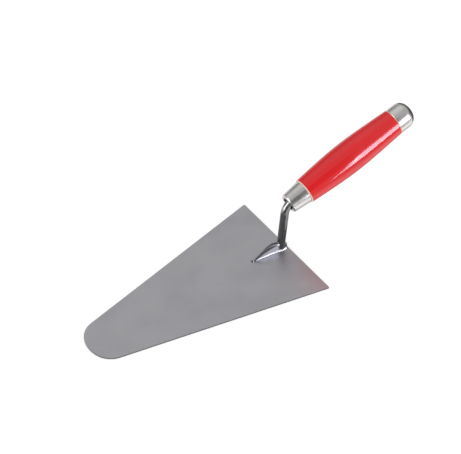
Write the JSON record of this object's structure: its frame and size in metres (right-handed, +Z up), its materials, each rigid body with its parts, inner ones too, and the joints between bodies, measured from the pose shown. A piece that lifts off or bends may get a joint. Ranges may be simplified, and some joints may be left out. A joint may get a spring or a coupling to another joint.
{
  "type": "brick trowel",
  "caption": "Brick trowel with a flat tapering round-nosed blade, a forged and bent shank, a steel ferrule, a red lacquered wooden grip and a domed steel end cap, for laying mortar.",
  "frame": {"origin": "on the blade's underside, in the trowel's plane of symmetry, directly below the root of the neck, 6 mm in front of the heel", "axes": "+X along the blade towards its nose, +Z up out of the blade towards the grip, +Y across the blade"},
  "size_m": [0.3384, 0.1246, 0.1011],
  "materials": {
    "blade_steel": "ground and lacquered spring steel, satin",
    "forged_steel": "forged and polished round bar",
    "weld_metal": "bright filler metal, smoothed",
    "plated_steel": "nickel-plated sheet steel, softly polished",
    "lacquered_wood": "turned hardwood under glossy opaque red lacquer",
    "brad_steel": "drawn wire nail"
  },
  "bodies": {
    "root": {"blade": "blade_steel", "shank": "forged_steel", "weld_bead": "weld_metal", "front_ferrule": "plated_steel", "grip": "lacquered_wood", "end_cap": "plated_steel", "ferrule_brad": "brad_steel", "cap_brad": "brad_steel"}
  },
  "joints": []
}
